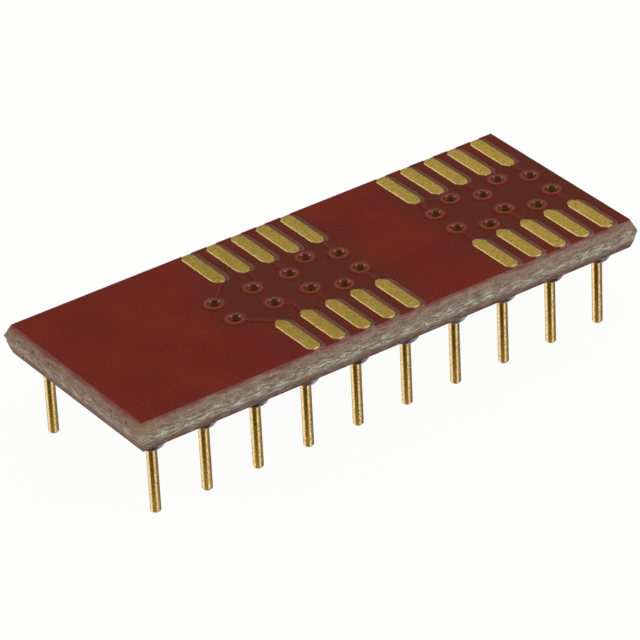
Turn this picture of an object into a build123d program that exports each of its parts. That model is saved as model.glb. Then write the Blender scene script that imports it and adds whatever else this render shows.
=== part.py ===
from build123d import *
import os
from math import atan2, degrees, hypot

# Adapter board that carries a 20/26-lead J-lead IC and plugs into a 20-way,
# 0.3 inch dual in-line socket. Lengths in millimetres. X runs along the pin
# rows, Y across them, Z up. Z = 0 is the plane of the pin tips, and the origin
# lies under the middle of the board. The two halves of the board mirror each
# other across the XZ plane, so the back half is drawn and the front half copied.

# Pin field
PINS_PER_ROW = 10
PIN_PITCH = 2.54
PIN_ROW_SPACING = 7.62

# Pins: a thin tail, a stop flange and a head that stands in a blind hole
PIN_TAIL_LENGTH = 3.81
PIN_TAIL_RADIUS = 0.2285
PIN_TIP_BEVEL = 0.08
PIN_FLANGE_RADIUS = 0.50
PIN_FLANGE_THICKNESS = 0.25
PIN_HEAD_RADIUS = 0.39
PIN_HEAD_LENGTH = 0.75
PIN_HOLE_CLEARANCE = 0.01
PIN_END_CLEARANCE = 0.05

# Laminate, snapped along V-scored lines
LAMINATE_THICKNESS = 1.32
EDGE_MARGIN = 1.27
TOP_SCORE_INSET = 0.25
TOP_SCORE_DEPTH = 0.42
UNDER_SCORE_INSET = 0.25
UNDER_SCORE_DEPTH = 0.64

# Copper, its gold finish and the solder mask
COPPER_THICKNESS = 0.06
FINISH_THICKNESS = 0.01
PLATING_THICKNESS = 0.03
MASK_THICKNESS = 0.025
TRACK_WIDTH = 0.20
TRACK_OVERLAP = 0.30

# J-lead footprint: five lands, three left out, five lands, on each side
LANDS_PER_GROUP = 5
LANDS_LEFT_OUT = 3
LAND_PITCH = 1.27
LAND_LENGTH = 2.75
LAND_WIDTH = 0.64
LAND_CORNER = 0.19
LAND_TAPER_WIDTH = 0.19
LAND_TAPER_LENGTH = 0.30
LAND_EDGE_GAP = 0.085

# The mask is printed a little to the right, so its openings show more laminate there
OPENING_NEAR_GAP = 0.02
OPENING_FAR_GAP = 0.26
OPENING_EDGE_GAP = 0.10
OPENING_CORNER = 0.24

# Vias: two stand to the left of their lands, and three stand closer to theirs
VIA_BORE_RADIUS = 0.275
VIA_RING_RADIUS = 0.41
VIA_INNER_ROW_Y = 0.762
VIA_TO_LAND = 0.60
VIA_SHIFTS = (1.27, 0.57)
VIAS_NEAR_LANDS = (3, 6, 8)

# Underside tracks step outwards so that they pass beside each other
RUN_FIRST_Y = 1.05
RUN_STEP_Y = 0.45
PAD_RADIUS = 0.74
PAD_OPENING_GAP = 0.05

# Solder collar round the flange of each pin
SOLDER_RADIUS = 0.70
SOLDER_HEIGHT = 0.65
SOLDER_FOOT_RADIUS = 0.36

# Levels
UNDERSIDE_Z = PIN_TAIL_LENGTH
TOP_Z = UNDERSIDE_Z + LAMINATE_THICKNESS
PAD_FACE_Z = UNDERSIDE_Z - COPPER_THICKNESS

# Plan sizes that follow from the pin field
LAST_PIN_X = (PINS_PER_ROW - 1) * PIN_PITCH / 2
PIN_ROW_Y = PIN_ROW_SPACING / 2
BOARD_LENGTH = 2 * (LAST_PIN_X + EDGE_MARGIN)
BOARD_WIDTH = 2 * (PIN_ROW_Y + EDGE_MARGIN)
LAND_OUTER_Y = BOARD_WIDTH / 2 - TOP_SCORE_INSET - LAND_EDGE_GAP
LAND_INNER_Y = LAND_OUTER_Y - LAND_LENGTH

# Holes that follow from what stands in them
PIN_HOLE_RADIUS = PIN_HEAD_RADIUS + PIN_HOLE_CLEARANCE
PIN_DRILL_RADIUS = PIN_HOLE_RADIUS + PLATING_THICKNESS
PIN_HOLE_DEPTH = PIN_HEAD_LENGTH - COPPER_THICKNESS + PIN_END_CLEARANCE
PIN_DRILL_DEPTH = PIN_HOLE_DEPTH + PLATING_THICKNESS
VIA_DRILL_RADIUS = VIA_BORE_RADIUS + PLATING_THICKNESS


def pin_spot(index):
    return index * PIN_PITCH - LAST_PIN_X, PIN_ROW_Y


def land_x(index):
    """Lands count from the left, and the last one lines up with the last pin."""
    place = index if index < LANDS_PER_GROUP else index + LANDS_LEFT_OUT
    last_place = 2 * LANDS_PER_GROUP - 1 + LANDS_LEFT_OUT
    return LAST_PIN_X - (last_place - place) * LAND_PITCH


def via_spot(index):
    shift = VIA_SHIFTS[index] if index < len(VIA_SHIFTS) else 0
    y = LAND_INNER_Y - VIA_TO_LAND if index in VIAS_NEAR_LANDS else VIA_INNER_ROW_Y
    return land_x(index) - shift, y


def top_route(index):
    """From the via at 45 degrees to the land's column, then straight into the land."""
    via_x, via_y = via_spot(index)
    corner_y = via_y + abs(land_x(index) - via_x)
    end_y = max(LAND_INNER_Y + TRACK_OVERLAP, corner_y)
    corners = [(via_x, via_y), (land_x(index), corner_y), (land_x(index), end_y)]
    return [p for k, p in enumerate(corners) if k == 0 or p != corners[k - 1]]


def underside_route(index):
    """From the via out to the pin's pad, along a level of its own where the pin is far off."""
    via_x, via_y = via_spot(index)
    pin_x, pin_y = pin_spot(index)
    run, drop = via_x - pin_x, pin_y - via_y
    if not run:
        return [(via_x, via_y), (pin_x, pin_y)]
    if abs(run) < drop:
        return [(via_x, via_y), (via_x, pin_y - abs(run)), (pin_x, pin_y)]
    level = max(via_y, RUN_FIRST_Y + RUN_STEP_Y * (index % LANDS_PER_GROUP))
    way = run / abs(run)
    leave = (via_x - way * (level - via_y), level)
    arrive = (pin_x + way * (pin_y - level), level)
    return [(via_x, via_y), leave, arrive, (pin_x, pin_y)]


def track(points, width):
    """Straight strips with round ends, joined at the corners."""
    strips = Sketch()
    for (x0, y0), (x1, y1) in zip(points, points[1:]):
        dx, dy = x1 - x0, y1 - y0
        strip = SlotCenterToCenter(hypot(dx, dy), width, rotation=degrees(atan2(dy, dx)))
        strips += Pos((x0 + x1) / 2, (y0 + y1) / 2) * strip
    return strips


def disc(spot, radius):
    return Pos(*spot) * Circle(radius)


def slab(outline, z, height):
    return extrude(Plane.XY.offset(z) * outline, height)


def in_front(shape):
    return mirror(shape, about=Plane.XZ)


def tapered_octagon(x, width, inner_y, outer_y, corner):
    """A strip with two corners cut square at its outer end, that narrows at its inner end."""
    half = width / 2
    right = [
        (half - LAND_TAPER_WIDTH, inner_y),
        (half, inner_y + LAND_TAPER_LENGTH),
        (half, outer_y - corner),
        (half - corner, outer_y),
    ]
    left = [(-across, y) for across, y in reversed(right)]
    return Pos(x, 0) * Polygon(*right, *left, align=None)


def land_outline(index):
    return tapered_octagon(land_x(index), LAND_WIDTH, LAND_INNER_Y, LAND_OUTER_Y, LAND_CORNER)


def opening_outline(index):
    """The mask opening round a land, wider on its right and open at the board's edge."""
    width = OPENING_NEAR_GAP + LAND_WIDTH + OPENING_FAR_GAP
    x = land_x(index) + (OPENING_FAR_GAP - OPENING_NEAR_GAP) / 2
    inner_y, outer_y = LAND_INNER_Y - OPENING_NEAR_GAP, LAND_OUTER_Y + OPENING_EDGE_GAP
    return tapered_octagon(x, width, inner_y, outer_y, OPENING_CORNER)


def circuit(index):
    """One lead's copper: land, tracks, via barrel, and the pad and plated hole of its pin."""
    via, pin = via_spot(index), pin_spot(index)
    ring = disc(via, VIA_RING_RADIUS)
    above = track(top_route(index), TRACK_WIDTH) + ring
    below = track(underside_route(index), TRACK_WIDTH) + ring + disc(pin, PAD_RADIUS)
    via_height = LAMINATE_THICKNESS + 2 * COPPER_THICKNESS
    copper = slab(above, TOP_Z, COPPER_THICKNESS)
    copper += slab(land_outline(index), TOP_Z, COPPER_THICKNESS + FINISH_THICKNESS)
    copper += slab(below, PAD_FACE_Z, COPPER_THICKNESS)
    copper += slab(disc(via, VIA_DRILL_RADIUS), PAD_FACE_Z, via_height)
    copper += slab(disc(pin, PIN_DRILL_RADIUS), UNDERSIDE_Z, PIN_DRILL_DEPTH)
    copper -= slab(disc(via, VIA_BORE_RADIUS), PAD_FACE_Z, via_height)
    copper -= slab(disc(pin, PIN_HOLE_RADIUS), PAD_FACE_Z, COPPER_THICKNESS + PIN_HOLE_DEPTH)
    return copper


def laminate():
    """The scored and snapped board, with its via holes and blind pin holes."""
    outline = Rectangle(BOARD_LENGTH, BOARD_WIDTH)
    top = Rectangle(BOARD_LENGTH - 2 * TOP_SCORE_INSET, BOARD_WIDTH - 2 * TOP_SCORE_INSET)
    under = Rectangle(BOARD_LENGTH - 2 * UNDER_SCORE_INSET, BOARD_WIDTH - 2 * UNDER_SCORE_INSET)
    web_low, web_high = UNDERSIDE_Z + UNDER_SCORE_DEPTH, TOP_Z - TOP_SCORE_DEPTH
    board = slab(outline, web_low, web_high - web_low)
    board += loft([Pos(0, 0, web_high) * outline, Pos(0, 0, TOP_Z) * top])
    board += loft([Pos(0, 0, UNDERSIDE_Z) * under, Pos(0, 0, web_low) * outline])
    holes = []
    for index in range(PINS_PER_ROW):
        holes.append(slab(disc(via_spot(index), VIA_DRILL_RADIUS), UNDERSIDE_Z, LAMINATE_THICKNESS))
        holes.append(slab(disc(pin_spot(index), PIN_DRILL_RADIUS), UNDERSIDE_Z, PIN_DRILL_DEPTH))
    return board - holes - [in_front(hole) for hole in holes]


def mask(inset, route, openings, circuits, z, up):
    """A printed skin that lies flat on the laminate and climbs over each track and ring."""
    half_width = BOARD_WIDTH / 2 - inset
    outline = Pos(0, half_width / 2) * Rectangle(BOARD_LENGTH - 2 * inset, half_width)
    ridges = Sketch()
    for index in range(PINS_PER_ROW):
        ridges += track(route(index), TRACK_WIDTH + 2 * MASK_THICKNESS)
        ridges += disc(via_spot(index), VIA_RING_RADIUS + MASK_THICKNESS)
        openings += disc(via_spot(index), VIA_BORE_RADIUS)
    ridge_height = COPPER_THICKNESS + MASK_THICKNESS
    skin = slab(outline - openings, z if up else z - MASK_THICKNESS, MASK_THICKNESS)
    skin += slab(ridges - openings, z if up else z - ridge_height, ridge_height)
    skin -= circuits
    return skin + in_front(skin)


def top_mask(circuits):
    openings = Sketch() + [opening_outline(index) for index in range(PINS_PER_ROW)]
    return mask(TOP_SCORE_INSET, top_route, openings, circuits, TOP_Z, True)


def underside_mask(circuits):
    pads = [disc(pin_spot(i), PAD_RADIUS + PAD_OPENING_GAP) for i in range(PINS_PER_ROW)]
    openings = Sketch() + pads
    return mask(UNDER_SCORE_INSET, underside_route, openings, circuits, UNDERSIDE_Z, False)


def pin_body():
    """A turned pin, standing on its tip at the origin."""
    flange_z = PAD_FACE_Z - PIN_FLANGE_THICKNESS
    head_z = PAD_FACE_Z + PIN_HEAD_LENGTH
    profile = Polyline(
        (0, 0, 0),
        (PIN_TAIL_RADIUS - PIN_TIP_BEVEL, 0, 0),
        (PIN_TAIL_RADIUS, 0, PIN_TIP_BEVEL),
        (PIN_TAIL_RADIUS, 0, flange_z),
        (PIN_FLANGE_RADIUS, 0, flange_z),
        (PIN_FLANGE_RADIUS, 0, PAD_FACE_Z),
        (PIN_HEAD_RADIUS, 0, PAD_FACE_Z),
        (PIN_HEAD_RADIUS, 0, head_z),
        (0, 0, head_z),
        close=True,
    )
    return revolve(make_face(profile), Axis.Z)


def solder_collar(pin):
    """A full round collar of solder that stands square on the pad and hides the flange."""
    foot_z = PAD_FACE_Z - SOLDER_HEIGHT
    rim, foot = (SOLDER_RADIUS, 0, PAD_FACE_Z), (SOLDER_FOOT_RADIUS, 0, foot_z)
    profile = [
        TangentArc(rim, foot, tangent=(0, 0, -1)),
        Polyline(foot, (0, 0, foot_z), (0, 0, PAD_FACE_Z), rim),
    ]
    return revolve(make_face(profile), Axis.Z) - pin


def write(name, shape):
    shape.label = name
    export_step(shape, f"parts/{name}.step")


def main():
    os.makedirs("parts", exist_ok=True)
    indexes = range(PINS_PER_ROW)
    pin = pin_body()
    collar = solder_collar(pin)
    pins = [Pos(*pin_spot(index)) * pin for index in indexes]
    collars = [Pos(*pin_spot(index)) * collar for index in indexes]
    circuits = [circuit(index) for index in indexes]
    # The front row counts from left to right and the back row goes on from right to left
    for index in indexes:
        front, back = index + 1, 2 * PINS_PER_ROW - index
        write(f"pin_{front:02d}", in_front(pins[index]))
        write(f"pin_{back:02d}", pins[index])
        write(f"copper_circuit_{front:02d}", in_front(circuits[index]))
        write(f"copper_circuit_{back:02d}", circuits[index])
    write("solder_collars_front_row", Compound([in_front(one) for one in collars]))
    write("solder_collars_back_row", Compound(collars))
    write("laminate_board", laminate())
    write("top_solder_mask", top_mask(circuits))
    write("underside_solder_mask", underside_mask(circuits))


main()
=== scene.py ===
from math import cos, hypot, radians, sin, sqrt, tau

import bmesh
import bpy
from mathutils import Matrix, Quaternion, Vector, noise


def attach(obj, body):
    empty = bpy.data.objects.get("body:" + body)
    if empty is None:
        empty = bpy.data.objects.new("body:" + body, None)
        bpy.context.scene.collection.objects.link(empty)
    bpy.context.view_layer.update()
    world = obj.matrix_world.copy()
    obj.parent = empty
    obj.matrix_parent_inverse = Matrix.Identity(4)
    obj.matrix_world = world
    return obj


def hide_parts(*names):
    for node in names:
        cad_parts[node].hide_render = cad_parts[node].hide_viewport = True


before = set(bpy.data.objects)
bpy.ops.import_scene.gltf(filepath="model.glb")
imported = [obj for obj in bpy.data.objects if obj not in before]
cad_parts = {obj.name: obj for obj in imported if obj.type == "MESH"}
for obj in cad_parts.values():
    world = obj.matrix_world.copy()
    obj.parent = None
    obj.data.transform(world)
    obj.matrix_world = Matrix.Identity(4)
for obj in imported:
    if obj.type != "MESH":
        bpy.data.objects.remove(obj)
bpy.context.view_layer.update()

# View
# A long lens looks down over the front left corner from 194 mm, so the far end
# of the board is hardly smaller than the near one.
MM = 0.001
CAMERA_PLACE = Vector((-92.483, -135.542, 103.552)) * MM
CAMERA_AZIMUTH, CAMERA_TILT, CAMERA_ROLL = radians(34.206), radians(31.555), radians(-2.884)
LENS_MM, SENSOR_MM = 258.10, 36.0

ahead = Vector((
    sin(CAMERA_AZIMUTH) * cos(CAMERA_TILT),
    cos(CAMERA_AZIMUTH) * cos(CAMERA_TILT),
    -sin(CAMERA_TILT),
))
camera = bpy.data.objects.new("camera", bpy.data.cameras.new("camera"))
camera.data.lens, camera.data.sensor_width = LENS_MM, SENSOR_MM
camera.data.clip_start, camera.data.clip_end = 10 * MM, 5000 * MM
camera.rotation_mode = "QUATERNION"
camera.rotation_quaternion = ahead.to_track_quat("-Z", "Y") @ Quaternion((0, 0, 1), CAMERA_ROLL)
camera.location = CAMERA_PLACE
bpy.context.collection.objects.link(camera)
bpy.context.scene.camera = camera
bpy.context.scene.view_settings.view_transform = "Standard"


# Table and light
# An opal light table in a room that shows only in what shines. Two pale walls, at
# the back left and the front right, leave a dark gap on the near side, so each
# pin gets two bright lines with a dark one between them. Walls beyond are dim.
TABLE_HALF_SIZE = 900 * MM
TABLE_WHITE = "#fefefd"
TABLE_GLOW_SHARE = 0.97
ROOM_WHITE, WARM_SHADE = "#ffffff", "#fff4b4"
AMBIENT_STRENGTH = 0.455
DARK_SIDE = Vector((-0.790, -0.613, 0.0))
LIT_SIDE = Vector((-0.935, -0.355, 0.0))
# How bright each part of the room is where metal or ink mirrors it
PALE_WALL, DARK_WALL, DIM_WALL_SHARE = 1.4, 0.08, 0.18
CEILING_EDGE, CEILING_TOP = 0.30, 0.13
FLOOR_LEVEL, NADIR_SHARE = 0.85, 0.10


def linear(code):
    """An sRGB hex colour as linear RGBA."""
    parts = [int(code[k : k + 2], 16) / 255 for k in (1, 3, 5)]
    return [*(c / 12.92 if c <= 0.04045 else ((c + 0.055) / 1.055) ** 2.4 for c in parts), 1.0]


def add(owner, kind, inputs=None, **settings):
    """Adds a node to a material or world.

    Inputs go by socket name or number, as a value or as another node's output.
    """
    node = owner.node_tree.nodes.new(kind)
    for name, value in settings.items():
        setattr(node, name, value)
    for key, value in (inputs or {}).items():
        if isinstance(value, bpy.types.NodeSocket):
            owner.node_tree.links.new(value, node.inputs[key])
        else:
            node.inputs[key].default_value = value
    return node


def new_material(name):
    """A material and its surface shader."""
    material = bpy.data.materials.new(name)
    material.use_nodes = True
    return material, material.node_tree.nodes["Principled BSDF"]


def link(owner, source, target):
    owner.node_tree.links.new(source, target)


room = bpy.data.worlds.new("room")
room.use_nodes = True
bpy.context.scene.world = room
way = add(room, "ShaderNodeTexCoord").outputs["Generated"]
height = add(room, "ShaderNodeSeparateXYZ", {0: way}).outputs["Z"]
toward_dark = add(room, "ShaderNodeVectorMath", {
    0: way, 1: DARK_SIDE,
}, operation="DOT_PRODUCT").outputs["Value"]
toward_lit = add(room, "ShaderNodeVectorMath", {
    0: way, 1: LIT_SIDE,
}, operation="DOT_PRODUCT").outputs["Value"]
ceiling = add(room, "ShaderNodeMapRange", {
    0: height, 1: 0.03, 2: 0.10, 3: CEILING_EDGE, 4: CEILING_TOP,
}, interpolation_type="SMOOTHSTEP")
shade = add(room, "ShaderNodeMapRange", {
    0: toward_dark, 1: 0.42, 2: 0.72, 3: 0.0, 4: 1.0,
}, interpolation_type="SMOOTHSTEP")
front_wall = add(room, "ShaderNodeMapRange", {
    0: shade.outputs[0], 1: 0.0, 2: 1.0, 3: PALE_WALL, 4: DARK_WALL,
})
back_wall = add(room, "ShaderNodeMapRange", {
    0: toward_lit, 1: 0.25, 2: -0.50, 3: 1.0, 4: DIM_WALL_SHARE,
}, interpolation_type="SMOOTHSTEP")
walls = add(room, "ShaderNodeMath", {
    0: front_wall.outputs[0], 1: back_wall.outputs[0],
}, operation="MULTIPLY")
steep = add(room, "ShaderNodeMapRange", {0: height, 1: -0.62, 2: -0.72, 3: 0.0, 4: 1.0})
floor = add(room, "ShaderNodeMix", {
    0: steep.outputs[0], 2: walls.outputs[0], 3: FLOOR_LEVEL,
}, data_type="FLOAT")
nadir = add(room, "ShaderNodeMapRange", {0: height, 1: -0.95, 2: -0.82, 3: NADIR_SHARE, 4: 1.0})
below = add(room, "ShaderNodeMath", {0: floor.outputs[0], 1: nadir.outputs[0]}, operation="MULTIPLY")
is_below = add(room, "ShaderNodeMath", {0: height, 1: 0.0}, operation="LESS_THAN")
seen = add(room, "ShaderNodeMix", {
    0: is_below.outputs[0], 2: ceiling.outputs[0], 3: below.outputs[0],
}, data_type="FLOAT")
ray = add(room, "ShaderNodeLightPath").outputs
mirrored = add(room, "ShaderNodeMath", {
    0: ray["Is Camera Ray"], 1: ray["Is Glossy Ray"],
}, operation="MAXIMUM")
looked_at = add(room, "ShaderNodeMath", {
    0: mirrored.outputs[0], 1: ray["Is Transmission Ray"],
}, operation="MAXIMUM")
strength = add(room, "ShaderNodeMix", {
    0: looked_at.outputs[0], 2: AMBIENT_STRENGTH, 3: seen.outputs[0],
}, data_type="FLOAT")
sky = room.node_tree.nodes["Background"]
warmth = add(room, "ShaderNodeMath", {0: shade.outputs[0], 1: is_below.outputs[0]}, operation="MULTIPLY")
paint = add(room, "ShaderNodeMix", {
    0: warmth.outputs[0], 6: linear(ROOM_WHITE), 7: linear(WARM_SHADE),
}, data_type="RGBA")
link(room, paint.outputs[2], sky.inputs["Color"])
link(room, strength.outputs[0], sky.inputs["Strength"])

# Opal acrylic over lamps gives the eye an even white with hardly a shadow on it
table_paint, lit = new_material("white light table")
lit.inputs["Base Color"].default_value = linear(TABLE_WHITE)
lit.inputs["Roughness"].default_value = 0.9
lit.inputs["Specular IOR Level"].default_value = 0.0
glow = add(table_paint, "ShaderNodeEmission", {"Color": linear(TABLE_WHITE), "Strength": 1.0})
ray = add(table_paint, "ShaderNodeLightPath").outputs
looked_at = add(table_paint, "ShaderNodeMath", {
    0: ray["Is Camera Ray"], 1: ray["Is Transmission Ray"],
}, operation="MAXIMUM")
glow_share = add(table_paint, "ShaderNodeMath", {
    0: looked_at.outputs[0], 1: TABLE_GLOW_SHARE,
}, operation="MULTIPLY")
glowing = add(table_paint, "ShaderNodeMixShader", {
    0: glow_share.outputs[0], 1: lit.outputs[0], 2: glow.outputs[0],
})
clear = add(table_paint, "ShaderNodeBsdfTransparent")
underneath = add(table_paint, "ShaderNodeNewGeometry").outputs["Backfacing"]
see_through = add(table_paint, "ShaderNodeMath", {
    0: ray["Is Glossy Ray"], 1: underneath,
}, operation="MAXIMUM")
surface = add(table_paint, "ShaderNodeMixShader", {
    0: see_through.outputs[0], 1: glowing.outputs[0], 2: clear.outputs[0],
})
link(table_paint, surface.outputs[0], table_paint.node_tree.nodes["Material Output"].inputs["Surface"])

shape = bmesh.new()
bmesh.ops.create_grid(shape, x_segments=1, y_segments=1, size=TABLE_HALF_SIZE)
table = bpy.data.objects.new("table", bpy.data.meshes.new("table"))
shape.to_mesh(table.data)
shape.free()
table.data.materials.append(table_paint)
bpy.context.collection.objects.link(table)

# Place of each lamp's middle and its width, in mm, and its watts
LAMPS = {
    "overhead_softbox": ((-60, -60, 420), 300, 0.10),
    "back_left_softbox": ((-208, 232, 248), 240, 0.56),
    "front_right_softbox": ((190, -210, 270), 240, 0.64),
}
for name, (place, size, watts) in LAMPS.items():
    lamp = bpy.data.objects.new(name, bpy.data.lights.new(name, "AREA"))
    lamp.data.shape, lamp.data.size, lamp.data.energy = "DISK", size * MM, watts
    lamp.location = Vector(place) * MM
    lamp.rotation_mode = "QUATERNION"
    lamp.rotation_quaternion = (-lamp.location).to_track_quat("-Z", "Y")
    bpy.context.collection.objects.link(lamp)


# Laminate
# Glass cloth in epoxy, 1.32 mm thick, scored with a V from both faces and snapped
# out of its panel. The scored slopes are milled and show grey glass bundles, and
# the snapped web between them is torn and rough.
UNDERSIDE_Z, TOP_Z = 3.81, 5.13
HALF_LENGTH, HALF_WIDTH = 12.70, 5.08
SCORE_INSET = 0.25
EDGE_CUTS, ROW_CUTS = 200, 5
# How near to a level or a side a point lies on it, in mm
NEAR = 0.001
TEAR_Z, TEAR_REACH = 4.58, 0.30
TEAR_DEPTH, MILL_DEPTH = 0.050, 0.010
# Tears to the millimetre: they run along the glass bundles, so they are several
# times longer than high
TEARS_ALONG, TEARS_UP = 1.6, 7
WEB_HALF_HEIGHT, WEB_WEAR, WEAR_REACH = 0.13, 0.050, 0.42
# Height in mm and the colour of the bare edge there. The darker stops low down are painted shade on the
# lower slope, which faces down
EDGE_COLOURS_AND_SHADE = (
    (3.85, "#6e453b"), (3.97, "#715445"), (4.09, "#775f4e"), (4.20, "#887765"), (4.36, "#8a7b6b"),
    (4.66, "#81705f"), (4.80, "#856f5b"), (4.95, "#866d60"), (5.04, "#866459"), (5.12, "#86524b"),
)
# Whitish tufts of torn glass, half a millimetre long and a tenth high: how many to
# the millimetre, the level that they keep round, and where they start to thin out
TUFTS_ALONG, TUFTS_UP = 1.9, 9.0
TUFT_Z, TUFT_CORE, TUFT_FADE = 4.40, 0.12, 0.32
# The layers of cloth rise and fall by this much along the edge
LAYER_SWAY, SWAYS_ALONG = 0.20, 0.9
# Milled grit is finer than the render shows, so it is drawn 0.06 mm wide
EDGE_GRITS = 17
# The left end is browner out from the first of these, and no longer past the second.
# Its dust reaches this much further down
LEFT_END_X, LEFT_END_FADE_X, TAN_SHARE, DUST_LIFT = -12.5, -12.3, 0.32, 0.05
DUST_START_Z, DUST_FULL_Z, DUST_SCATTER = 4.98, 5.16, 0.08
YELLOW_CORNER, YELLOW_SHARE = (-12.35, -5.0, 4.86), 0.45
# The flat face inside the openings is scuffed from here to the board's edge
SCUFF_START_Y, SCUFF_FULL_Y = 4.66, 4.83
# Middle of each open pore on the left end, as Y and Z in mm
PORES = ((-3.94, 4.80), (-2.84, 4.80), (1.78, 4.79), (2.95, 4.79), (3.99, 4.79))
TOUCHING = 1e-8


def merged_copy(node_name):
    """A CAD node's mesh with its loose triangles joined up."""
    shape = bmesh.new()
    shape.from_mesh(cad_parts[node_name].data)
    bmesh.ops.remove_doubles(shape, verts=shape.verts, dist=TOUCHING)
    return shape


def join_flat(shape, edges):
    """Joins the triangles that meet flat along some edges into whole faces."""
    flat = [edge for edge in edges if edge.calc_face_angle(0) < radians(1)]
    bmesh.ops.dissolve_edges(shape, edges=flat, use_verts=False)


def finish_piece(name, shape, material, slot, *replaced, crease=35):
    """Turns a bmesh into a shown piece that stands for CAD nodes."""
    mesh = bpy.data.meshes.new(name)
    shape.to_mesh(mesh)
    shape.free()
    mesh.shade_smooth()
    mesh.set_sharp_from_angle(angle=radians(crease))
    mesh.materials.append(material)
    piece = bpy.data.objects.new(name, mesh)
    bpy.context.collection.objects.link(piece)
    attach(piece, "root")
    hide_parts(*replaced)
    return piece


def on_edge(vert):
    x, y = abs(vert.co.x) / MM, abs(vert.co.y) / MM
    return x > HALF_LENGTH - SCORE_INSET - NEAR or y > HALF_WIDTH - SCORE_INSET - NEAR


def snapped_sides(shape):
    """The mesh edges on the scored and snapped sides of the board."""
    return [edge for edge in shape.edges if all(map(on_edge, edge.verts))]


def climb(edge):
    """How far an edge rises, in mm."""
    return abs(edge.verts[0].co.z - edge.verts[1].co.z) / MM


shape = merged_copy("laminate_board")
join_flat(shape, snapped_sides(shape))
corner_edges = [edge for edge in snapped_sides(shape) if climb(edge) > 0.1]
bmesh.ops.subdivide_edges(shape, edges=corner_edges, cuts=ROW_CUTS, use_grid_fill=True)
long_edges = [edge for edge in snapped_sides(shape) if edge.calc_length() > 5 * MM]
bmesh.ops.subdivide_edges(shape, edges=long_edges, cuts=EDGE_CUTS, use_grid_fill=True)
for vert in shape.verts:
    x, y, z = vert.co / MM
    if on_edge(vert) and UNDERSIDE_Z + NEAR < z < TOP_Z - NEAR:
        torn = max(0.0, 1 - abs(z - TEAR_Z) / TEAR_REACH)
        spot = Vector((x * TEARS_ALONG, y * TEARS_ALONG, z * TEARS_UP))
        rough = 0.5 + 0.5 * noise.fractal(spot, 0.8, 2.1, 4)
        inward = max(0.0, min(1.0, rough)) * (MILL_DEPTH + torn * (TEAR_DEPTH - MILL_DEPTH))
        # The web's two rims are worn most, and the wear runs out over the slopes
        off_web = abs(z - TEAR_Z) - WEB_HALF_HEIGHT
        worn = 1 + off_web / WEB_HALF_HEIGHT if off_web < 0 else 1 - off_web / WEAR_REACH
        inward += WEB_WEAR * max(0.0, worn)
        if HALF_LENGTH - abs(x) < SCORE_INSET + NEAR:
            vert.co.x -= inward * MM * (1 if x > 0 else -1)
        if HALF_WIDTH - abs(y) < SCORE_INSET + NEAR:
            vert.co.y -= inward * MM * (1 if y > 0 else -1)


def spot_mask(material, place, middle, stretch, inner, outer):
    """1 within a small spot and 0 outside it. Middle and radii are in mm."""
    away = add(material, "ShaderNodeVectorMath", {
        0: place, 1: Vector(middle) * MM,
    }, operation="SUBTRACT").outputs[0]
    scaled = add(material, "ShaderNodeVectorMath", {0: away, 1: stretch}, operation="MULTIPLY").outputs[0]
    radius = add(material, "ShaderNodeVectorMath", {0: scaled}, operation="LENGTH").outputs["Value"]
    return add(material, "ShaderNodeMapRange", {
        0: radius, 1: inner * MM, 2: outer * MM, 3: 1.0, 4: 0.0,
    }).outputs[0]


# Glass epoxy that a cutter has milled and a snap has torn gives the eye a dull
# grey-brown, streaked white where bundles of glass stand bare
glass_epoxy, skin = new_material("milled and snapped glass epoxy laminate")
place = add(glass_epoxy, "ShaderNodeTexCoord").outputs["Object"]
parts = add(glass_epoxy, "ShaderNodeSeparateXYZ", {0: place}).outputs
along = add(glass_epoxy, "ShaderNodeMath", {0: parts["X"], 1: parts["Y"]}, operation="ADD").outputs[0]
line = add(glass_epoxy, "ShaderNodeCombineXYZ", {0: along}).outputs[0]
drift = add(glass_epoxy, "ShaderNodeTexNoise", {
    "Vector": line, "Scale": SWAYS_ALONG / MM, "Detail": 2.0,
}).outputs[0]
sway = add(glass_epoxy, "ShaderNodeMapRange", {
    0: drift, 1: 0.0, 2: 1.0, 3: -LAYER_SWAY * MM, 4: LAYER_SWAY * MM,
}).outputs[0]
layer = add(glass_epoxy, "ShaderNodeMath", {0: parts["Z"], 1: sway}, operation="ADD").outputs[0]
tuft_place = add(glass_epoxy, "ShaderNodeCombineXYZ", {
    0: add(glass_epoxy, "ShaderNodeMath", {0: along, 1: TUFTS_ALONG / MM}, operation="MULTIPLY").outputs[0],
    2: add(glass_epoxy, "ShaderNodeMath", {0: layer, 1: TUFTS_UP / MM}, operation="MULTIPLY").outputs[0],
})
tufts = add(glass_epoxy, "ShaderNodeTexNoise", {
    "Vector": tuft_place.outputs[0], "Scale": 1.0, "Detail": 5.0, "Roughness": 0.7, "Distortion": 0.3,
})
grain = add(glass_epoxy, "ShaderNodeTexNoise", {
    "Vector": place, "Scale": EDGE_GRITS / MM, "Detail": 3.0, "Roughness": 0.7,
})
off_tear = add(glass_epoxy, "ShaderNodeMath", {0: layer, 1: TUFT_Z * MM}, operation="SUBTRACT").outputs[0]
from_tear = add(glass_epoxy, "ShaderNodeMath", {0: off_tear}, operation="ABSOLUTE").outputs[0]
at_tear = add(glass_epoxy, "ShaderNodeMapRange", {
    0: from_tear, 1: TUFT_CORE * MM, 2: TUFT_FADE * MM, 3: 1.0, 4: 0.22,
})
white = add(glass_epoxy, "ShaderNodeMapRange", {0: tufts.outputs[0], 1: 0.48, 2: 0.62, 3: 0.0, 4: 0.85})
pale = add(glass_epoxy, "ShaderNodeMath", {
    0: white.outputs[0], 1: at_tear.outputs[0],
}, operation="MULTIPLY")
dark = add(glass_epoxy, "ShaderNodeMapRange", {0: tufts.outputs[0], 1: 0.46, 2: 0.32, 3: 0.0, 4: 0.65})
rise = add(glass_epoxy, "ShaderNodeMapRange", {
    0: layer, 1: UNDERSIDE_Z * MM, 2: TOP_Z * MM, 3: 0.0, 4: 1.0,
})
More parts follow.
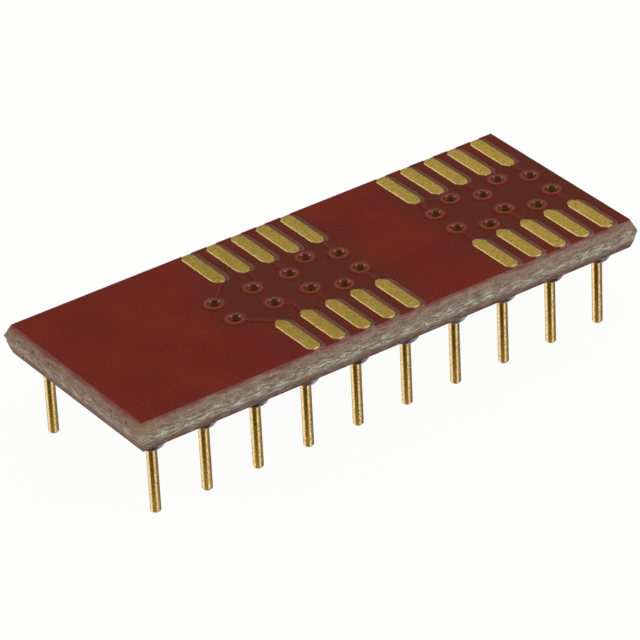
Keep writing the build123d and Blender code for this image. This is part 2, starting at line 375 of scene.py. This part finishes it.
# Colour by height, darker towards the foot: painted shade on the down-facing lower slope
ramp = add(glass_epoxy, "ShaderNodeValToRGB", {0: rise.outputs[0]})
stops = ramp.color_ramp.elements
stops.remove(stops[1])
for z, code in EDGE_COLOURS_AND_SHADE:
    stops.new((z - UNDERSIDE_Z) / (TOP_Z - UNDERSIDE_Z)).color = linear(code)
stops.remove(stops[0])
streaked = add(glass_epoxy, "ShaderNodeMix", {
    0: pale.outputs[0], 6: ramp.outputs[0], 7: linear("#d2cdc0"),
}, data_type="RGBA")
gapped = add(glass_epoxy, "ShaderNodeMix", {
    0: dark.outputs[0], 6: streaked.outputs[2], 7: linear("#4c3d30"),
}, data_type="RGBA")
# Towards the left end the resin is browner, and more ink dust lies on the slope
left_end = add(glass_epoxy, "ShaderNodeMapRange", {
    0: parts["X"], 1: LEFT_END_X * MM, 2: LEFT_END_FADE_X * MM, 3: 1.0, 4: 0.0,
}).outputs[0]
tan = add(glass_epoxy, "ShaderNodeMath", {0: left_end, 1: TAN_SHARE}, operation="MULTIPLY")
tanned = add(glass_epoxy, "ShaderNodeMix", {
    0: tan.outputs[0], 6: gapped.outputs[2], 7: linear("#86603f"),
}, data_type="RGBA")
lift = add(glass_epoxy, "ShaderNodeMath", {0: left_end, 1: DUST_LIFT * MM}, operation="MULTIPLY")
# Ink dust from the scoring cutter reddens the top of the slope
dusty = add(glass_epoxy, "ShaderNodeMapRange", {
    0: grain.outputs[0], 1: 0.3, 2: 0.7, 3: -DUST_SCATTER * MM, 4: DUST_SCATTER * MM,
})
lifted = add(glass_epoxy, "ShaderNodeMath", {0: layer, 1: lift.outputs[0]}, operation="ADD")
dust_z = add(glass_epoxy, "ShaderNodeMath", {0: lifted.outputs[0], 1: dusty.outputs[0]}, operation="ADD")
dust = add(glass_epoxy, "ShaderNodeMapRange", {
    0: dust_z.outputs[0], 1: DUST_START_Z * MM, 2: DUST_FULL_Z * MM, 3: 0.0, 4: 0.85,
})
reddened = add(glass_epoxy, "ShaderNodeMix", {
    0: dust.outputs[0], 6: tanned.outputs[2], 7: linear("#7a322c"),
}, data_type="RGBA")
# The resin is yellower at the front left corner
corner = spot_mask(glass_epoxy, place, YELLOW_CORNER, (0.6, 0.6, 2.0), 0.05, 0.62)
tinge = add(glass_epoxy, "ShaderNodeMath", {0: corner, 1: YELLOW_SHARE}, operation="MULTIPLY")
yellowed = add(glass_epoxy, "ShaderNodeMix", {
    0: tinge.outputs[0], 6: reddened.outputs[2], 7: linear("#937e48"),
}, data_type="RGBA")
pored = yellowed.outputs[2]
# The pores have no shape: each dark spot is painted shade in its hole
for y, z in PORES:
    pore = spot_mask(glass_epoxy, place, (-HALF_LENGTH, y, z), (0.02, 1.0, 3.0), 0.05, 0.14)
    pored = add(glass_epoxy, "ShaderNodeMix", {
        0: pore, 6: pored, 7: linear("#4e3e29"),
    }, data_type="RGBA").outputs[2]
# The flat face inside the openings is smooth, and paler where the cutter has scuffed it
across = add(glass_epoxy, "ShaderNodeMath", {0: parts["Y"]}, operation="ABSOLUTE").outputs[0]
scuff = add(glass_epoxy, "ShaderNodeMapRange", {
    0: across, 1: SCUFF_START_Y * MM, 2: SCUFF_FULL_Y * MM, 3: 0.0, 4: 1.0,
})
bare = add(glass_epoxy, "ShaderNodeMix", {
    0: scuff.outputs[0], 6: linear("#6d4435"), 7: linear("#877465"),
}, data_type="RGBA")
flat = add(glass_epoxy, "ShaderNodeMath", {
    0: parts["Z"], 1: (TOP_Z - 0.002) * MM,
}, operation="GREATER_THAN")
faced = add(glass_epoxy, "ShaderNodeMix", {
    0: flat.outputs[0], 6: pored, 7: bare.outputs[2],
}, data_type="RGBA")
speckle = add(glass_epoxy, "ShaderNodeMapRange", {0: grain.outputs[0], 1: 0.3, 2: 0.7, 3: 0.55, 4: 1.45})
grained = add(glass_epoxy, "ShaderNodeVectorMath", {
    0: faced.outputs[2], 1: speckle.outputs[0],
}, operation="MULTIPLY")
relief = add(glass_epoxy, "ShaderNodeMath", {0: tufts.outputs[0], 1: grain.outputs[0]}, operation="ADD")
bump = add(glass_epoxy, "ShaderNodeBump", {
    "Strength": 0.45, "Distance": 0.03 * MM, "Height": relief.outputs[0],
})
link(glass_epoxy, grained.outputs[0], skin.inputs["Base Color"])
link(glass_epoxy, bump.outputs[0], skin.inputs["Normal"])
skin.inputs["Roughness"].default_value = 0.75
skin.inputs["Specular IOR Level"].default_value = 0.3
finish_piece("snapped_laminate", shape, glass_epoxy, "glass_epoxy", "laminate_board")


# Copper circuits
# Etched copper under a matt flash of gold. Each one has the octagonal land that
# takes a lead, the track to its via, the plated barrel, and the pad of its pin.
# The etch leaves the lands' rims slightly rounded and uneven.
CIRCUITS = 20
LAND_TOP_Z = 5.20
COPPER, TRACK_SINK = 0.06, 0.012
RIM_CUTS, RIM_WANDER, RIM_SLOPE = 24, 0.012, 0.037
# A pit near the end of one land and a nick in the side of another, in mm
LAND_PIT, LAND_NICK = (11.60, -4.66, 5.20), (9.86, 4.25, 5.19)
# The flash has its thin and thick ends here, and this is how bright they are
FLASH_THIN_X, FLASH_THICK_X, FLASH_THIN, FLASH_THICK = -4, 12, 0.93, 1.14
# Gold grit is finer than the render shows, so it is drawn 0.08 mm wide
GOLD_GRITS = 12

# A thin matt flash gives the eye a soft, grainy yellow that mirrors no lamp
matt_gold, skin = new_material("matt gold flash on copper")
place = add(matt_gold, "ShaderNodeTexCoord").outputs["Object"]
parts = add(matt_gold, "ShaderNodeSeparateXYZ", {0: place}).outputs
grit = add(matt_gold, "ShaderNodeTexNoise", {
    "Vector": place, "Scale": GOLD_GRITS / MM, "Detail": 3.0, "Roughness": 0.65,
})
tone = add(matt_gold, "ShaderNodeMapRange", {0: grit.outputs[0], 1: 0.34, 2: 0.66, 3: 0.0, 4: 1.0})
gold = add(matt_gold, "ShaderNodeMix", {
    0: tone.outputs[0], 6: linear("#a2842e"), 7: linear("#dcbb58"),
}, data_type="RGBA")
# The flash is a little thicker, and so brighter, towards the right end
thicker = add(matt_gold, "ShaderNodeMapRange", {
    0: parts["X"], 1: FLASH_THIN_X * MM, 2: FLASH_THICK_X * MM, 3: FLASH_THIN, 4: FLASH_THICK,
})
toned = add(matt_gold, "ShaderNodeVectorMath", {
    0: gold.outputs[2], 1: thicker.outputs[0],
}, operation="MULTIPLY")
# The pit has no shape: its near-black is painted shade in the hollow
pit = spot_mask(matt_gold, place, LAND_PIT, (1.0, 1.0, 1.0), 0.04, 0.08)
pit_shaded = add(matt_gold, "ShaderNodeMix", {
    0: pit, 6: toned.outputs[0], 7: linear("#2b2a28"),
}, data_type="RGBA")
# The nick has no shape: its pale grey is a painted highlight
nick = spot_mask(matt_gold, place, LAND_NICK, (1.0, 0.6, 1.0), 0.05, 0.09)
nick_highlighted = add(matt_gold, "ShaderNodeMix", {
    0: nick, 6: pit_shaded.outputs[2], 7: linear("#a9a7a0"),
}, data_type="RGBA")
# The etched flanks of a land are smoother than its face, so they catch the lamps. They are also painted
# paler, a painted highlight that makes their glint cream
flank = add(matt_gold, "ShaderNodeMapRange", {
    0: parts["Z"], 1: (LAND_TOP_Z - 0.012) * MM, 2: (LAND_TOP_Z - 0.002) * MM, 3: 1.0, 4: 0.0,
})
paler = add(matt_gold, "ShaderNodeMath", {0: flank.outputs[0], 1: 0.4}, operation="MULTIPLY")
flank_highlighted = add(matt_gold, "ShaderNodeMix", {
    0: paler.outputs[0], 6: nick_highlighted.outputs[2], 7: linear("#ecd9b0"),
}, data_type="RGBA")
rough = add(matt_gold, "ShaderNodeMapRange", {0: flank.outputs[0], 1: 0.0, 2: 1.0, 3: 0.45, 4: 0.40})
# Down in the barrels the flash is thin and the copper shows through
sunk = add(matt_gold, "ShaderNodeMapRange", {
    0: parts["Z"], 1: TOP_Z * MM, 2: (TOP_Z + 0.05) * MM, 3: 1.0, 4: 0.0,
})
coppery = add(matt_gold, "ShaderNodeMix", {
    0: sunk.outputs[0], 6: flank_highlighted.outputs[2], 7: linear("#b0803a"),
}, data_type="RGBA")
bump = add(matt_gold, "ShaderNodeBump", {"Strength": 0.5, "Distance": 0.01 * MM, "Height": grit.outputs[0]})
link(matt_gold, coppery.outputs[2], skin.inputs["Base Color"])
link(matt_gold, rough.outputs[0], skin.inputs["Roughness"])
link(matt_gold, bump.outputs[0], skin.inputs["Normal"])
skin.inputs["Metallic"].default_value = 0.45


def wander(vert, amount):
    """Shifts a vertex sideways a little, as an etched or screened edge wanders."""
    x, y, _ = vert.co / MM
    vert.co.x += amount * MM * noise.fractal(Vector((x * 3.1, y * 3.1, 1.7)), 0.6, 2.6, 3)
    vert.co.y += amount * MM * noise.fractal(Vector((x * 3.1, y * 3.1, 9.2)), 0.6, 2.6, 3)


def land_rim(shape):
    """The edges round the top of a land."""
    at_top = [e for e in shape.edges if all(abs(v.co.z / MM - LAND_TOP_Z) < NEAR for v in e.verts)]
    return [edge for edge in at_top if edge.calc_face_angle(0) > radians(30)]


for index in range(1, CIRCUITS + 1):
    shape = merged_copy(f"copper_circuit_{index:02d}")
    join_flat(shape, list(shape.edges))
    for vert in shape.verts:
        # The tracks lie a little deeper than in the CAD part, so that no edge comes through the ink
        z = vert.co.z / MM
        if abs(z - TOP_Z - COPPER) < NEAR:
            vert.co.z -= TRACK_SINK * MM
        if abs(z - UNDERSIDE_Z + COPPER) < NEAR:
            vert.co.z += TRACK_SINK * MM
    long_edges = [edge for edge in land_rim(shape) if edge.calc_length() > 1.0 * MM]
    bmesh.ops.subdivide_edges(shape, edges=long_edges, cuts=RIM_CUTS)
    rim = land_rim(shape)
    for vert in {vert for edge in rim for vert in edge.verts}:
        wander(vert, RIM_WANDER)
    bmesh.ops.bevel(
        shape, geom=rim, offset=RIM_SLOPE * MM, offset_type="OFFSET", segments=3,
        profile=0.35, affect="EDGES", clamp_overlap=False, material=-1,
    )
    finish_piece(
        f"gilded_circuit_{index:02d}", shape, matt_gold, "gold_on_copper", f"copper_circuit_{index:02d}",
    )


# Solder mask
# Red epoxy ink, 0.025 mm thick, screened over both faces. It lies flat on the
# laminate, climbs each track as a soft ridge and rolls over the rims of the vias.
# Openings keep it off the lands and the pin pads.
MASK = 0.025
LAND_PITCH, GROUP_STARTS, GROUP_LANDS = 1.27, (-3.81, 6.35), 5
LAND_INNER_Y, PIN_PITCH, PIN_ROW_Y, PINS_PER_ROW = 1.995, 2.54, 3.81, 10
# An opening's outline goes up its right side and comes down its left, as X from the
# land's middle and distance from the board's middle line
OPENING = (
    (0.39, 1.975), (0.58, 2.275), (0.58, 4.605), (0.34, 4.845),
    (-0.12, 4.845), (-0.31, 4.655), (-0.31, 2.295), (-0.12, 1.975),
)
OPENING_CUTS, PAD_OPENING = 24, 0.79
# On either face a ridge runs this far into an opening, so that no gap is left
LAP = 0.01
VIA_BORE, VIA_INNER_Y, VIA_TO_LAND = 0.27, 0.762, 0.60
VIA_SHIFTS, VIAS_NEAR_LANDS = (1.27, 0.57), (3, 6, 8)
RUN_FIRST_Y, RUN_STEP_Y = 1.05, 0.45
RIDGE_HALF_WIDTH, RIDGE_HEIGHT, RIDGE_START = 0.32, 0.072, 0.38
# Half section of the ink round a via, as radius and height over the laminate. It
# turns over at 45 degrees, where it catches each lamp as one short bright arc
VIA_RIM = (
    (0.272, 0.010), (0.252, 0.010), (0.241, 0.016), (0.240, 0.026), (0.258, 0.045),
    (0.276, 0.064), (0.290, 0.077), (0.304, 0.0845), (0.322, 0.087), (0.345, 0.0865),
    (0.385, 0.083), (0.425, 0.0745), (0.470, 0.061), (0.515, 0.046), (0.555, 0.033),
    (0.595, 0.022), (0.630, 0.015), (0.630, 0.008), (0.29, 0.008),
)
VIA_STEPS = 40
EDGE_WANDER, FRAY, FRAYS_ALONG = 0.022, 0.008, 2.3
# The browner zones in mm: how their left end steps in from the middle line to the
# rows, how softly it starts, the gap between the zones, and where the rows fade
ZONE_STEP_Y, ZONE_LEFT_X, ZONE_SOFT = (1.2, 2.3), (-5.6, -4.35), (-0.7, 0.9)
ZONE_GAP_START_X, ZONE_GAP_END_X, ZONE_FADE_Y = (1.3, 2.7), (5.1, 6.5), (3.0, 4.7)
# Heights over the laminate between which the ink goes from flat to pooled, and from
# there to thin
POOLED, THINNED = (0.028, 0.045), (0.062, 0.082)
# Ink grain is finer than the render shows, so it is drawn 0.05 mm wide. The mottle
# is real and 2 mm wide
INK_GRAINS, INK_MOTTLES = 20, 0.5


def land_x(index):
    """X of a land's middle in mm, counted in its row from the left."""
    return GROUP_STARTS[index // GROUP_LANDS] + index % GROUP_LANDS * LAND_PITCH


def pin_x(index):
    return (index - (PINS_PER_ROW - 1) / 2) * PIN_PITCH


def via_spot(index):
    """Where a via stands, as X and distance from the middle line in mm."""
    shift = VIA_SHIFTS[index] if index < len(VIA_SHIFTS) else 0.0
    near_land = index in VIAS_NEAR_LANDS
    return land_x(index) - shift, LAND_INNER_Y - VIA_TO_LAND if near_land else VIA_INNER_Y


def from_circle(corners, radius):
    """A route from where it leaves a circle round its first corner."""
    middle = corners[0]
    while (corners[1] - middle).length < radius:
        corners = corners[1:]
    off, way = corners[0] - middle, (corners[1] - corners[0]).normalized()
    reach = sqrt(radius**2 - off.length_squared + off.dot(way) ** 2) - off.dot(way)
    return [corners[0] + way * reach, *corners[1:]]


def top_route(index):
    """The track on top runs from the via at 45 degrees and then straight into its land."""
    x, y = via_spot(index)
    corner, end = y + (land_x(index) - x), OPENING[0][1] + LAP
    if corner > end:
        return [(x, y), (x + end - y, end)]
    bend = [(land_x(index), corner)] if corner > y else []
    return [(x, y), *bend, (land_x(index), end)]


def underside_route(index):
    """The track underneath runs out to its pad, on a level of its own where the pin is far off."""
    x, y = via_spot(index)
    run, drop = x - pin_x(index), PIN_ROW_Y - y
    if abs(run) < drop:
        bends = [(x, PIN_ROW_Y - abs(run))]
    else:
        level = max(y, RUN_FIRST_Y + RUN_STEP_Y * (index % GROUP_LANDS))
        way = 1 if run > 0 else -1
        bends = [(x - way * (level - y), level), (pin_x(index) + way * (PIN_ROW_Y - level), level)]
    corners = [Vector(corner) for corner in ((x, y), *bends, (pin_x(index), PIN_ROW_Y))]
    return from_circle(corners[::-1], PAD_OPENING - LAP)[::-1]


def block(width, length, x, y, low, high):
    """A plain block by its size and middle in plan and its two levels."""
    shape = bmesh.new()
    bmesh.ops.create_cube(shape, size=1)
    bmesh.ops.scale(shape, vec=Vector((width, length, high - low)) * MM, verts=shape.verts)
    bmesh.ops.translate(shape, vec=Vector((x, y, (low + high) / 2)) * MM, verts=shape.verts)
    return shape


def absorb(target, shape):
    """Moves one bmesh into another."""
    mesh = bpy.data.meshes.new("part")
    shape.to_mesh(mesh)
    shape.free()
    target.from_mesh(mesh)
    bpy.data.meshes.remove(mesh)


def cut_away(shape, cutters):
    """What is left of a solid bmesh once the cutters are taken out of it."""
    objects = []
    for name, each in (("blank", shape), ("cutters", cutters)):
        mesh = bpy.data.meshes.new(name)
        each.to_mesh(mesh)
        each.free()
        objects.append(bpy.data.objects.new(name, mesh))
        bpy.context.collection.objects.link(objects[-1])
    blank, tool = objects
    cut = blank.modifiers.new("cut", "BOOLEAN")
    cut.operation, cut.object, cut.solver = "DIFFERENCE", tool, "EXACT"
    left = blank.evaluated_get(bpy.context.evaluated_depsgraph_get()).to_mesh()
    result = bmesh.new()
    result.from_mesh(left)
    for each in objects:
        bpy.data.meshes.remove(each.data)
    bmesh.ops.triangulate(result, faces=result.faces)
    return result


def opening_cutter(index, side):
    """The opening round a land, which runs out over the board's edge."""
    shape = bmesh.new()
    corners = [Vector((land_x(index) + x, side * y, TOP_Z - 0.5)) * MM for x, y in OPENING]
    floor = shape.faces.new([shape.verts.new(corner) for corner in corners])
    raised = bmesh.ops.extrude_face_region(shape, geom=[floor])["geom"]
    lifted = [vert for vert in raised if isinstance(vert, bmesh.types.BMVert)]
    bmesh.ops.translate(shape, vec=(0, 0, 1.0 * MM), verts=lifted)
    bmesh.ops.recalc_face_normals(shape, faces=shape.faces)
    level = [e for e in shape.edges if climb(e) < 0.1 and e.calc_length() > 0.4 * MM]
    bmesh.ops.subdivide_edges(shape, edges=level, cuts=OPENING_CUTS, use_grid_fill=True)
    for vert in shape.verts:
        wander(vert, EDGE_WANDER)
    return shape


def drill(x, y, radius, middle_z):
    """A round cutter, 1 mm long."""
    shape = bmesh.new()
    place = Matrix.Translation(Vector((x, y, middle_z)) * MM)
    bmesh.ops.create_cone(
        shape, cap_ends=True, segments=VIA_STEPS, radius1=radius * MM, radius2=radius * MM,
        depth=1.0 * MM, matrix=place,
    )
    return shape


def ridge(route, face_z, side):
    """A track's worth of ink: a low swelling along the route, from the ring of its via on."""
    corners = from_circle([Vector(corner) for corner in route], RIDGE_START)
    curve = bpy.data.curves.new("ridge", "CURVE")
    curve.dimensions, curve.use_fill_caps = "3D", True
    curve.bevel_depth, curve.bevel_resolution = RIDGE_HALF_WIDTH * MM, 6
    spline = curve.splines.new("POLY")
    spline.points.add(len(corners) - 1)
    for point, (x, y) in zip(spline.points, corners):
        point.co = (x * MM, side * y * MM, 0, 1)
    bead = bpy.data.objects.new("ridge", curve)
    shape = bmesh.new()
    shape.from_mesh(bead.to_mesh())
    bpy.data.curves.remove(curve)
    bmesh.ops.remove_doubles(shape, verts=shape.verts, dist=TOUCHING)
    for vert in shape.verts:
        # The cube of a round section's height is a swelling with a soft foot
        vert.co.z = RIDGE_HEIGHT * MM * (vert.co.z / (RIDGE_HALF_WIDTH * MM)) ** 3
    bmesh.ops.translate(shape, vec=(0, 0, face_z * MM), verts=shape.verts)
    bmesh.ops.recalc_face_normals(shape, faces=shape.faces)
    return shape


def via_rim(spot, face_z, up, side):
    """The ink round one via, turned from its half section."""
    shape = bmesh.new()
    verts = [shape.verts.new((r * MM, 0, up * z * MM)) for r, z in VIA_RIM]
    edges = [shape.edges.new(pair) for pair in zip(verts, verts[1:] + verts[:1])]
    bmesh.ops.spin(
        shape, geom=verts + edges, cent=(0, 0, 0), axis=(0, 0, 1), dvec=(0, 0, 0), angle=tau,
        steps=VIA_STEPS, use_merge=True,
    )
    bmesh.ops.translate(shape, vec=Vector((spot[0], side * spot[1], face_z)) * MM, verts=shape.verts)
    bmesh.ops.recalc_face_normals(shape, faces=shape.faces)
    return shape


def mask_film(face_z, up, cutters, route):
    """One face's ink: a thin film with openings, a ridge on each track, a rim round each via."""
    inner, outer = sorted((face_z, face_z + up * MASK))
    half_length, half_width = HALF_LENGTH - SCORE_INSET, HALF_WIDTH - SCORE_INSET
    film = block(2 * half_length, 2 * half_width, 0, 0, inner, outer)
    level = [edge for edge in film.edges if climb(edge) < NEAR]
    bmesh.ops.subdivide_edges(film, edges=level, cuts=EDGE_CUTS, use_grid_fill=False)
    for vert in film.verts:
        # The scoring cutter has frayed the ink back from the edge here and there
        x, y, _ = vert.co / MM
        spot = Vector((x * FRAYS_ALONG, y * FRAYS_ALONG, face_z))
        frayed = max(0, 0.5 + 0.5 * noise.fractal(spot, 1.0, 2.0, 3))
        vert.co.x -= frayed * FRAY * MM * (1 if x > 0 else -1) * (abs(x) > half_length - NEAR)
        vert.co.y -= frayed * FRAY * MM * (1 if y > 0 else -1) * (abs(y) > half_width - NEAR)
    tools = bmesh.new()
    for side in (-1, 1):
        for index in range(PINS_PER_ROW):
            x, y = via_spot(index)
            absorb(tools, drill(x, side * y, VIA_BORE + 0.02, face_z))
            absorb(tools, cutters(index, side))
    film = cut_away(film, tools)
    for side in (-1, 1):
        for index in range(PINS_PER_ROW):
            absorb(film, ridge(route(index), face_z, side))
            absorb(film, via_rim(via_spot(index), face_z, up, side))
    return film


def pad_cutter(index, side):
    return drill(pin_x(index), side * PIN_ROW_Y, PAD_OPENING, UNDERSIDE_Z)


# Screened epoxy ink gives the eye a deep red-brown with a satin shine on each rim
red_mask, skin = new_material("screened red epoxy solder mask")
place = add(red_mask, "ShaderNodeTexCoord").outputs["Object"]
parts = add(red_mask, "ShaderNodeSeparateXYZ", {0: place}).outputs
mottle = add(red_mask, "ShaderNodeTexNoise", {"Vector": place, "Scale": INK_MOTTLES / MM, "Detail": 3.0})
grain = add(red_mask, "ShaderNodeTexNoise", {
    "Vector": place, "Scale": INK_GRAINS / MM, "Detail": 3.0, "Roughness": 0.7,
})
depth = add(red_mask, "ShaderNodeMapRange", {0: mottle.outputs[0], 1: 0.3, 2: 0.7, 3: 0.0, 4: 1.0})
ink = add(red_mask, "ShaderNodeMix", {
    0: depth.outputs[0], 6: linear("#671b0a"), 7: linear("#721f0d"),
}, data_type="RGBA")
# Round each footprint the ink lies on bare laminate and looks browner
across = add(red_mask, "ShaderNodeMath", {0: parts["Y"]}, operation="ABSOLUTE").outputs[0]
edge = add(red_mask, "ShaderNodeMapRange", {
    0: across, 1: ZONE_STEP_Y[0] * MM, 2: ZONE_STEP_Y[1] * MM,
    3: ZONE_LEFT_X[0] * MM, 4: ZONE_LEFT_X[1] * MM,
}).outputs[0]
inside = add(red_mask, "ShaderNodeMath", {0: parts["X"], 1: edge}, operation="SUBTRACT").outputs[0]
from_left = add(red_mask, "ShaderNodeMapRange", {
    0: inside, 1: ZONE_SOFT[0] * MM, 2: ZONE_SOFT[1] * MM, 3: 0.0, 4: 1.0,
}).outputs[0]
to_right = add(red_mask, "ShaderNodeMapRange", {
    0: parts["X"], 1: ZONE_GAP_START_X[0] * MM, 2: ZONE_GAP_START_X[1] * MM, 3: 1.0, 4: 0.0,
}).outputs[0]
left_zone = add(red_mask, "ShaderNodeMath", {0: from_left, 1: to_right}, operation="MULTIPLY").outputs[0]
right_zone = add(red_mask, "ShaderNodeMapRange", {
    0: parts["X"], 1: ZONE_GAP_END_X[0] * MM, 2: ZONE_GAP_END_X[1] * MM, 3: 0.0, 4: 1.0,
}).outputs[0]
zones = add(red_mask, "ShaderNodeMath", {0: left_zone, 1: right_zone}, operation="MAXIMUM").outputs[0]
fading = add(red_mask, "ShaderNodeMapRange", {
    0: across, 1: ZONE_FADE_Y[0] * MM, 2: ZONE_FADE_Y[1] * MM, 3: 1.0, 4: 0.35,
}).outputs[0]
brown = add(red_mask, "ShaderNodeMath", {0: zones, 1: fading}, operation="MULTIPLY").outputs[0]
browned = add(red_mask, "ShaderNodeMix", {
    0: brown, 6: ink.outputs[2], 7: linear("#5c220f"),
}, data_type="RGBA")
# It pools at the foot of a ring or track, where it is a deeper red, and is thin and pinkish on top
foot = add(red_mask, "ShaderNodeMapRange", {
    0: parts["Z"], 1: (TOP_Z + POOLED[0]) * MM, 2: (TOP_Z + POOLED[1]) * MM, 3: 0.0, 4: 0.45,
})
pooled = add(red_mask, "ShaderNodeMix", {
    0: foot.outputs[0], 6: browned.outputs[2], 7: linear("#64100c"),
}, data_type="RGBA")
raised = add(red_mask, "ShaderNodeMapRange", {
    0: parts["Z"], 1: (TOP_Z + THINNED[0]) * MM, 2: (TOP_Z + THINNED[1]) * MM, 3: 0.0, 4: 0.75,
})
thin = add(red_mask, "ShaderNodeMix", {
    0: raised.outputs[0], 6: pooled.outputs[2], 7: linear("#84402f"),
}, data_type="RGBA")
speckle = add(red_mask, "ShaderNodeMapRange", {0: grain.outputs[0], 1: 0.3, 2: 0.7, 3: 0.25, 4: 1.75})
grained = add(red_mask, "ShaderNodeVectorMath", {
    0: thin.outputs[2], 1: speckle.outputs[0],
}, operation="MULTIPLY")
bump = add(red_mask, "ShaderNodeBump", {
    "Strength": 0.25, "Distance": 0.01 * MM, "Height": grain.outputs[0],
})
link(red_mask, grained.outputs[0], skin.inputs["Base Color"])
link(red_mask, bump.outputs[0], skin.inputs["Normal"])
skin.inputs["Roughness"].default_value = 0.26
skin.inputs["Specular IOR Level"].default_value = 0.42

film = mask_film(TOP_Z, 1, opening_cutter, top_route)
finish_piece("printed_top_mask", film, red_mask, "solder_mask", "top_solder_mask")
film = mask_film(UNDERSIDE_Z, -1, pad_cutter, underside_route)
finish_piece("printed_underside_mask", film, red_mask, "solder_mask", "underside_solder_mask")


# Pins
# Thin brass pins, turned from drawn wire and plated bright gold. Each has a bevelled
# tip and a stop flange, and its head stands in a blind hole of the board.
PINS = 20
PIN_STEPS = 48
# Half section of a pin from its tip up, as radius and height in mm
PIN_PROFILE = (
    (0, 0), (0.1285, 0), (0.160, 0.010), (0.210, 0.055), (0.2245, 0.080), (0.2285, 0.110),
    (0.2285, 3.50), (0.50, 3.50), (0.50, 3.75), (0.39, 3.75), (0.39, 4.50), (0, 4.50),
)
# The plate's grain is finer than the render shows, so it is drawn 0.05 mm wide
PLATE_GRAINS = 20

# Bright gold plate gives the eye a mirror that shows the walls as long yellow lines
bright_gold, skin = new_material("bright gold plate on turned brass")
place = add(bright_gold, "ShaderNodeTexCoord").outputs["Object"]
grit = add(bright_gold, "ShaderNodeTexNoise", {
    "Vector": place, "Scale": PLATE_GRAINS / MM, "Detail": 3.0, "Roughness": 0.7,
})
tone = add(bright_gold, "ShaderNodeMapRange", {0: grit.outputs[0], 1: 0.40, 2: 0.62, 3: 0.0, 4: 1.0})
gold = add(bright_gold, "ShaderNodeMix", {
    0: tone.outputs[0], 6: linear("#b48434"), 7: linear("#ffe3a4"),
}, data_type="RGBA")
bump = add(bright_gold, "ShaderNodeBump", {
    "Strength": 0.4, "Distance": 0.006 * MM, "Height": grit.outputs[0],
})
link(bright_gold, gold.outputs[2], skin.inputs["Base Color"])
link(bright_gold, bump.outputs[0], skin.inputs["Normal"])
skin.inputs["Metallic"].default_value = 1.0
skin.inputs["Roughness"].default_value = 0.17


def pin_place(number):
    """Pins count along the front row from the left, and back along the back row."""
    if number <= PINS_PER_ROW:
        return Vector((pin_x(number - 1), -PIN_ROW_Y, 0)) * MM
    return Vector((pin_x(PINS - number), PIN_ROW_Y, 0)) * MM


def turned(profile, steps):
    """A solid of revolution from a half section in mm that starts and ends on the axis."""
    shape = bmesh.new()
    verts = [shape.verts.new((r * MM, 0, z * MM)) for r, z in profile]
    edges = [shape.edges.new(pair) for pair in zip(verts, verts[1:])]
    bmesh.ops.spin(
        shape, geom=verts + edges, cent=(0, 0, 0), axis=(0, 0, 1), dvec=(0, 0, 0), angle=tau,
        steps=steps, use_merge=True,
    )
    bmesh.ops.remove_doubles(shape, verts=shape.verts, dist=TOUCHING)
    bmesh.ops.recalc_face_normals(shape, faces=shape.faces)
    return shape


for number in range(1, PINS + 1):
    shape = turned(PIN_PROFILE, PIN_STEPS)
    bmesh.ops.translate(shape, vec=pin_place(number), verts=shape.verts)
    finish_piece(f"turned_pin_{number:02d}", shape, bright_gold, "gold_on_brass", f"pin_{number:02d}")


# Solder collars
# Solder that has wetted each pad and drawn up round the flange of its pin. No
# two fillets are quite the same height or roundness.
COLLAR_STEPS = 40
# Half section of a collar from the board down, as radius and height in mm
COLLAR_PROFILE = (
    (0, 3.80), (0.70, 3.80), (0.70, 3.75), (0.695, 3.66), (0.675, 3.55), (0.635, 3.43),
    (0.575, 3.32), (0.50, 3.22), (0.41, 3.14), (0.33, 3.105), (0.26, 3.10), (0, 3.10),
)
# The outside swells or sinks by up to this much at the foot, and not at the board
COLLAR_SWELL, COLLAR_TOP_Z, COLLAR_HEIGHT = 0.05, 3.75, 0.65
# Ripples of the cooled skin are about 0.3 mm wide
RIPPLES = 3.5

# Solder that has cooled in air gives the eye a grey metal with a soft, broken shine
solder, skin = new_material("cooled tin solder")
place = add(solder, "ShaderNodeTexCoord").outputs["Object"]
ripple = add(solder, "ShaderNodeTexNoise", {"Vector": place, "Scale": RIPPLES / MM, "Detail": 3.0})
tone = add(solder, "ShaderNodeMapRange", {0: ripple.outputs[0], 1: 0.35, 2: 0.65, 3: 0.0, 4: 1.0})
tin = add(solder, "ShaderNodeMix", {
    0: tone.outputs[0], 6: linear("#5c5d60"), 7: linear("#b0b1b3"),
}, data_type="RGBA")
bump = add(solder, "ShaderNodeBump", {"Strength": 0.8, "Distance": 0.06 * MM, "Height": ripple.outputs[0]})
link(solder, tin.outputs[2], skin.inputs["Base Color"])
link(solder, bump.outputs[0], skin.inputs["Normal"])
skin.inputs["Metallic"].default_value = 1.0
skin.inputs["Roughness"].default_value = 0.30

for row, numbers in (("front", range(1, PINS_PER_ROW + 1)), ("back", range(PINS_PER_ROW + 1, PINS + 1))):
    collars = bmesh.new()
    for number in numbers:
        shape = turned(COLLAR_PROFILE, COLLAR_STEPS)
        for vert in shape.verts:
            if vert.co.z < 3.70 * MM and hypot(vert.co.x, vert.co.y) > 0.27 * MM:
                way = Vector((vert.co.x, vert.co.y, 0)).normalized()
                swell = noise.noise(Vector((way.x * 0.8 + number * 3.7, way.y * 0.8, vert.co.z / MM)))
                drop = (COLLAR_TOP_Z - vert.co.z / MM) / COLLAR_HEIGHT
                vert.co -= way * MM * COLLAR_SWELL * swell * drop
        bmesh.ops.translate(shape, vec=pin_place(number), verts=shape.verts)
        absorb(collars, shape)
    finish_piece(f"solder_fillets_{row}_row", collars, solder, "solder", f"solder_collars_{row}_row")
